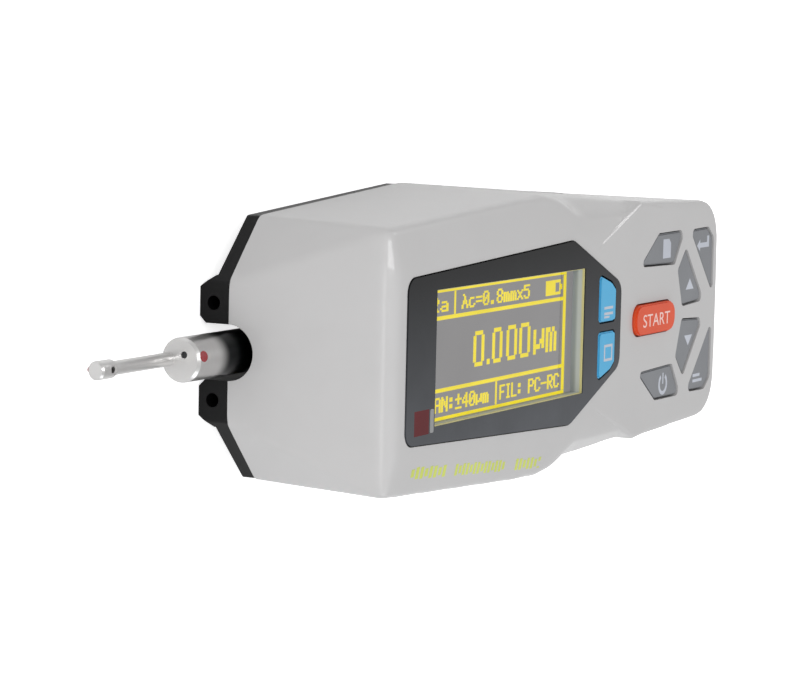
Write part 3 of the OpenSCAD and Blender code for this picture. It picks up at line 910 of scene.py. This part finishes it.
# %% Dots of the signs
signs = {
    "R": "11110 10001 10001 11110 10100 10010 10001", "a": "00000 00000 01110 00001 01111 10001 01111",
    "A": "01110 10001 10001 11111 10001 10001 10001", "N": "10001 11001 10101 10101 10011 10001 10001",
    "l": "01000 00100 00100 01010 01010 10001 10001", "c": "00000 00000 01110 10000 10000 10001 01110",
    "=": "00000 00000 11111 00000 11111 00000 00000", "0": "01110 10001 10011 10101 11001 10001 01110",
    ".": "00000 00000 00000 00000 00000 01100 01100", "8": "01110 10001 10001 01110 10001 10001 01110",
    "m": "00000 00000 11010 10101 10101 10101 10101", "x": "00000 00000 10001 01010 00100 01010 10001",
    "5": "11111 10000 11110 00001 00001 10001 01110", ":": "00000 01100 01100 00000 01100 01100 00000",
    "+": "00100 00100 11111 00100 00100 00000 11111", "4": "00010 00110 01010 10010 11111 00010 00010",
    "u": "00000 00000 10001 10001 10011 11101 10000", "F": "11111 10000 10000 11110 10000 10000 10000",
    "I": "01110 00100 00100 00100 00100 00100 01110", "L": "10000 10000 10000 10000 10000 10000 11111",
    "P": "11110 10001 10001 11110 10000 10000 10000", "C": "01110 10001 10000 10000 10000 10001 01110",
    "-": "00000 00000 00000 11111 00000 00000 00000",
}
print(len(signs), "signs known")

# %% [markdown]
# ## Typed lines of the display
# Each run of dots in a row becomes one tiny closed tile on the display, under the clear pane. A picture
# of the screen would be quicker, but tiles stay sharp from close up and need no image. Neighbouring tiles
# run into each other a little, as lit dots do.


# %% Typed lines
DOTS_WIDE = 5
DOTS_HIGH = 7
PITCH = DOTS_WIDE + 1
BLEED = 0.15
TILE_SHARE = 0.98
TOP_ROW = (7.25, 9.85)
LOW_ROW = (-10.4, -7.7)
LARGE_ROW = (-3.4, 3.1)
tiles = []


def typed(words, x0, x1, row):
    low, high = row
    step = (x1 - x0) / (PITCH * len(words) - 1)
    drop = (high - low) / DOTS_HIGH
    for i, sign in enumerate(words):
        for line, dots in enumerate(signs[sign].split()):
            y = high - (line + 1) * drop
            for col in range(DOTS_WIDE):
                if dots[col] == "1" and (col == 0 or dots[col - 1] == "0"):
                    run = len(dots[col:].split("0")[0])
                    x = x0 + (PITCH * i + col) * step
                    tiles.append((x - BLEED, y, x + run * step + BLEED, y + TILE_SHARE * drop))


typed("Ra", 19.2, 25.6, TOP_ROW)
typed("lc=0.8mmx5", 30.9, 58.1, TOP_ROW)
typed("RAN:+40um", 18.6, 42.2, LOW_ROW)
typed("FIL:", 46.8, 56.0, LOW_ROW)
typed("PC-RC", 58.6, 71.7, LOW_ROW)
typed("um", 60.4, 70.0, LARGE_ROW)
print("typed", len(tiles), "tiles")

# %% [markdown]
# ## Frame lines, large figures and battery sign
# These are drawn with longer tiles: each one is the two corners of a bar. The large zeros have cut
# corners, so their top and bottom bars are shorter than the figure is wide. All tiles together make one
# mesh, which lies a few thousandths of a millimetre above the display.

# %% Frame lines and large figures
STROKE = 1.15
CUT_CORNER = 0.6
TILE_SHIFT = 0.5
TILE_LOW = 0.004
TILE_HIGH = 0.03
tiles += [(16.2, 10.7, 73.9, 11.35), (16.2, -11.75, 73.9, -11.15)]
tiles += [(16.9, 5.85, 72.6, 6.55), (16.9, -6.85, 72.6, -6.15)]
tiles += [(16.2, -11.1, 16.85, 10.65), (72.65, -11.1, 73.9, 10.65)]
tiles += [(27.9, 6.6, 28.6, 10.65), (44.9, -11.1, 45.6, -6.9)]
for x0, x1 in [(35.75, 40.1), (43.25, 47.4), (49.0, 53.4), (54.3, 58.9)]:
    tiles += [(x0, -2.7, x0 + STROKE, 2.05), (x1 - STROKE, -2.7, x1, 2.05)]
    for y0, y1 in [(2.1, 2.85), (-3.5, -2.75)]:
        tiles.append((x0 + CUT_CORNER, y0, x1 - CUT_CORNER, y1))
decimal_point = (41.2, -3.5, 42.4, -2.5)
battery_fill = (65.0, 7.1, 69.2, 9.9)
battery_case = [(69.25, 9.35, 71.4, 9.9), (69.25, 7.1, 71.4, 7.65), (70.85, 7.7, 71.4, 9.3)]
battery_nub = (71.45, 8.0, 72.1, 9.0)
tiles += [decimal_point, battery_fill, *battery_case, battery_nub]
display_top = top_of("display_module")
lines = [bar(x0 - TILE_SHIFT, y0, x1 - TILE_SHIFT, y1) for x0, y0, x1, y1 in tiles]
figures = raised("display_figures", lines, display_top + TILE_LOW, display_top + TILE_HIGH)
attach(figures, "housing")
print("display:", len(tiles), "lit tiles")

# %% [markdown]
# ## Glow of the dots and painted glow of the ground
# The dots are light sources themselves, with a slow unevenness of a few percent from the lamps at the
# edge. The grey ground behind them gets a painted glow, which stands in for the light and the reflections
# of the pale room that the real ground shows.


# %% Glow
def glowing(name, colour, vary, scale):
    paint = bpy.data.materials.new(name)
    paint.use_nodes = True
    made = paint.node_tree
    shader = made.nodes["Principled BSDF"]
    shader.inputs["Base Color"].default_value = (0.02, 0.02, 0.02, 1)
    shader.inputs["Roughness"].default_value = 0.5
    shader.inputs["Emission Strength"].default_value = 1.0
    place = made.nodes.new("ShaderNodeTexCoord")
    slow = noise(made, place.outputs["Object"], scale, detail=2)
    made.links.new(shaded(made, slow, colour, vary), shader.inputs["Emission Color"])
    return paint


lit_dots = glowing("lit_dots", linear(245, 223, 0), vary=0.06, scale=120)
# Painted glow of the display ground, standing in for light and reflections of the pale room.
painted_ground_glow = glowing("painted_ground_glow", linear(132, 130, 130), vary=0.03, scale=60)
figures.data.materials.append(lit_dots)
nodes["display_module"].data.materials.clear()
nodes["display_module"].data.materials.append(painted_ground_glow)
print("dots and backlight glow")

# %% [markdown]
# ## Printed signs
# The key signs, the word on the start key and the ticks on the lower facet are pad printed: a film of ink
# a few hundredths of a millimetre thick. Each sign is a thin raised outline that rides on its own key, so
# it goes down when the key is pressed.


# %% Ink and helpers for signs
INK = {"rough": 0.55, "grain": 5000, "depth": 0.004}
INK_SUNK = 0.01
INK_PROUD = 0.02
key_ink = finish("key_ink", linear(196, 200, 210), mottle=0.06, **INK)
pink_ink = finish("pink_ink", linear(244, 208, 200), mottle=0.05, **INK)
lime_ink = finish("lime_ink", linear(206, 216, 104), mottle=0.06, **INK)


def arc(x, y, r, a0, a1, n=24):
    turns = [math.radians(a0 + (a1 - a0) * i / n) for i in range(n + 1)]
    return [(x + r * math.cos(a), y + r * math.sin(a)) for a in turns]


def frame_of(x0, y0, x1, y1, w):
    return [bar(x0, y0, x1, y0 + w), bar(x0, y1 - w, x1, y1),
            bar(x0, y0 + w, x0 + w, y1 - w), bar(x1 - w, y0 + w, x1, y1 - w)]


def printed(name, key, lines):
    top = top_of(key)
    sign = raised(name, lines, top - INK_SUNK, top + INK_PROUD)
    sign.data.materials.append(key_ink)
    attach(sign, key)


print("three inks ready")

# %% [markdown]
# ## Signs on the keys
# The signs are plain ones: a page, a return arrow, two triangles, a power ring, two bars, a menu and a
# frame. Each is a list of closed outlines in millimetres. A font could give some of them, but not in the
# same weight.

# %% Signs on the keys
page = [(112.8, 11.4), (116.6, 11.4), (116.6, 14.3), (115.7, 15.2), (112.8, 15.2)]
turn_back = [bar(131.6, 12.5, 136.2, 13.5), [(130.0, 13.0), (131.6, 11.8), (131.6, 14.2)],
             bar(135.2, 13.5, 136.2, 14.8)]
power = arc(114.6, -13.7, 2.2, 125, 415) + list(reversed(arc(114.6, -13.7, 1.45, 125, 415)))
menu = [bar(84.0, 3.4, 88.0, 3.9), bar(84.0, 2.3, 88.0, 2.8), bar(84.0, 1.7, 86.4, 2.1)]
printed("sign_page", "upper_near_key", [page])
printed("sign_return", "upper_far_key", turn_back)
printed("sign_up", "upper_middle_key", [[(124.8, 4.4), (128.8, 4.4), (126.8, 6.6)]])
printed("sign_down", "lower_middle_key", [[(124.8, -4.9), (126.8, -7.0), (128.8, -4.9)]])
printed("sign_power", "lower_near_key", [power, bar(114.35, -13.7, 114.85, -11.5)])
printed("sign_stop", "lower_far_key", [bar(129.8, -14.9, 134.6, -14.3), bar(129.8, -13.8, 133.4, -13.2)])
printed("sign_menu", "blue_key_upper", menu)
printed("sign_list", "blue_key_lower", frame_of(84.4, -6.6, 88.2, -3.4, 0.5))
print("eight key signs printed")

# %% [markdown]
# ## The word on the start key
# Blender's own font is close to the plain letters of such keys. The letters are turned into a mesh,
# scaled to the size of the print and laid on the key, and then raised to a film of ink.

# %% Word on the start key
WORD_WIDE = 13.0
WORD_HIGH = 2.5
WORD_X = 108.0
WORD_Y = -0.2
letters = bpy.data.curves.new("start_word", "FONT")
letters.body = "START"
letters.align_x = "CENTER"
letters.align_y = "CENTER"
holder = bpy.data.objects.new("start_word", letters)
bpy.context.scene.collection.objects.link(holder)
bpy.context.view_layer.update()
flat = bpy.data.meshes.new_from_object(holder.evaluated_get(bpy.context.evaluated_depsgraph_get()))
bpy.data.objects.remove(holder)
word = bmesh.new()
word.from_mesh(flat)
xs = [v.co.x for v in word.verts]
ys = [v.co.y for v in word.verts]
grow_x = WORD_WIDE / (max(xs) - min(xs))
grow_y = WORD_HIGH / (max(ys) - min(ys))
word_z = top_of("start_key") - INK_SUNK
for v in word.verts:
    x = WORD_X + (v.co.x - (max(xs) + min(xs)) / 2) * grow_x
    y = WORD_Y + (v.co.y - (max(ys) + min(ys)) / 2) * grow_y
    v.co = Vector(at(x, y, word_z))
lifted = bmesh.ops.extrude_face_region(word, geom=word.faces[:])
for item in lifted["geom"]:
    if isinstance(item, bmesh.types.BMVert):
        item.co.z += (INK_SUNK + INK_PROUD) * MM
start_word = keep("start_word", word)
start_word.data.materials.append(pink_ink)
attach(start_word, "start_key")
print("START is", round(start_word.dimensions.x / MM, 1), "mm wide")

# %% [markdown]
# ## Ticks on the lower facet
# Three groups of plain ticks run along the lower facet, as on a scale. The facet is tilted, so each
# corner of a tick is dropped straight down on the shell. The tick starts a little below that point and
# stands a little proud of it.


# %% Ticks on the lower facet
TICK_SUNK = Vector((0, 0, 0.02 * MM))
TICK_PROUD = Vector((0, 0, 0.03 * MM))
LONG_TICK = 1.05
SHORT_TICK = 0.7
LINE_X, LINE_Y = 9, -19.3
LINE_SLOPE = 4.0 / 51
DROP_FROM = 60
shell_points = [v.co for v in shell.data.vertices]
ground = BVHTree.FromPolygons(shell_points, [p.vertices for p in shell.data.polygons])


def dropped(x, y):
    return ground.ray_cast(Vector(at(x, y, DROP_FROM)), Vector((0, 0, -1)))[0]


ticks = bmesh.new()
count = 0
for first, last, step, width in [(8.8, 22.4, 1.7, 1.1), (25.5, 46.0, 1.45, 0.9), (49.9, 61.0, 1.6, 1.0)]:
    x = first
    while x + width <= last:
        middle = LINE_Y - (x - LINE_X) * LINE_SLOPE
        tall = LONG_TICK if count % 3 else SHORT_TICK
        spots = [dropped(px, py) for px, py in bar(x, middle - tall, x + width, middle + tall)]
        low = [ticks.verts.new(p - TICK_SUNK) for p in spots]
        high = [ticks.verts.new(p + TICK_PROUD) for p in spots]
        ticks.faces.new(low)
        ticks.faces.new(high)
        add_walls(ticks, [low, high])
        x += step
        count += 1
facet_ticks = keep("facet_ticks", ticks)
facet_ticks.data.materials.append(lime_ink)
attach(facet_ticks, "housing")
print(count, "ticks on the facet")

# %% [markdown]
# ## Window liner
# A thin grey frame lines the walls of the window. It is lighter towards its top, and its rim carries a
# painted yellow reflection of the lit display. It is four rings joined all the way round, and two colour
# ramps along the height give these tints.

# %% Window liner
LINER_LOW = 35.63
LINER_HIGH = 37.98
LINER_INNER = 37.9
liner_grey = finish("liner_grey", linear(150, 158, 162), rough=0.45, grain=3800, depth=0.010, mottle=0.04)
# Lighter towards the top of the wall.
fade_to(liner_grey, "Z", 36.2, 37.0, linear(190, 198, 202))
# Painted reflection of the yellow display along the rim.
fade_to(liner_grey, "Z", 37.3, 37.8, linear(206, 198, 138))
outer = bar(15.21, -11.79, 75.59, 11.79)
inner = bar(15.36, -11.64, 75.44, 11.64)
liner = bmesh.new()
rows = []
for line, z in ((outer, LINER_LOW), (outer, LINER_HIGH), (inner, LINER_INNER), (inner, LINER_LOW)):
    rows.append([liner.verts.new(at(x, y, z)) for x, y in line])
add_walls(liner, rows, closed=True)
window_liner = keep("window_liner", liner)
window_liner.data.materials.append(liner_grey)
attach(window_liner, "housing")
print("liner is", round(window_liner.dimensions.x / MM, 1), "mm long")

# %% [markdown]
# ## Pale strip
# A pale strip lies on the bezel beside the status lens. It is a thin raised outline with small round
# corners.

# %% Pale strip
STRIP_SUNK = 0.01
STRIP_PROUD = 0.03
strip_pale = finish("strip_pale", linear(146, 147, 148), rough=0.40, grain=3800, depth=0.006, mottle=0.05)
bezel_top = top_of("bezel_panel")
strip_line = rounded([(x, y, 0.3) for x, y in bar(13.5, -12.7, 14.8, -8.6)])
strip = raised("pale_strip", [strip_line], bezel_top - STRIP_SUNK, bezel_top + STRIP_PROUD)
strip.data.materials.append(strip_pale)
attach(strip, "housing")
print("strip is", round(strip.dimensions.y / MM, 1), "mm wide")

# %% [markdown]
# ## Red dot
# A dot of red enamel on the steel pickup shows which side is up. It is a small patch that follows the
# round body: each point of its rim is turned about the axis of the pickup, and the two rims are closed
# with fans round a hub. It rides on the carriage, as the pickup does.


# %% Red dot
DOT_X = -13.55
DOT_LONG = 1.15
DOT_WIDE = 0.95
DOT_TURN = math.radians(12)
DOT_SIDES = 28
PICKUP_AXIS = 5.5
PICKUP_R = 3.85
ENAMEL_SUNK = 0.01
ENAMEL_PROUD = 0.05
red_enamel = finish("red_enamel", linear(150, 14, 28), rough=0.22, grain=2600, depth=0.003, mottle=0.08,
                    coat=0.5)


def on_pickup(x, turn, r):
    return at(x, r * math.sin(turn), PICKUP_AXIS + r * math.cos(turn))


dot = bmesh.new()
rims = []
for r in (PICKUP_R - ENAMEL_SUNK, PICKUP_R + ENAMEL_PROUD):
    rim = []
    for i in range(DOT_SIDES):
        a = 2 * math.pi * i / DOT_SIDES
        turn = DOT_TURN + DOT_WIDE * math.sin(a) / PICKUP_R
        rim.append(dot.verts.new(on_pickup(DOT_X + DOT_LONG * math.cos(a), turn, r)))
    hub = dot.verts.new(on_pickup(DOT_X, DOT_TURN, r))
    for i in range(DOT_SIDES):
        dot.faces.new((rim[i], rim[(i + 1) % DOT_SIDES], hub))
    rims.append(rim)
add_walls(dot, rims)
red_dot = keep("red_dot", dot)
red_dot.data.materials.append(red_enamel)
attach(red_dot, "carriage")
print("dot is", round(red_dot.dimensions.x / MM, 1), "mm long")
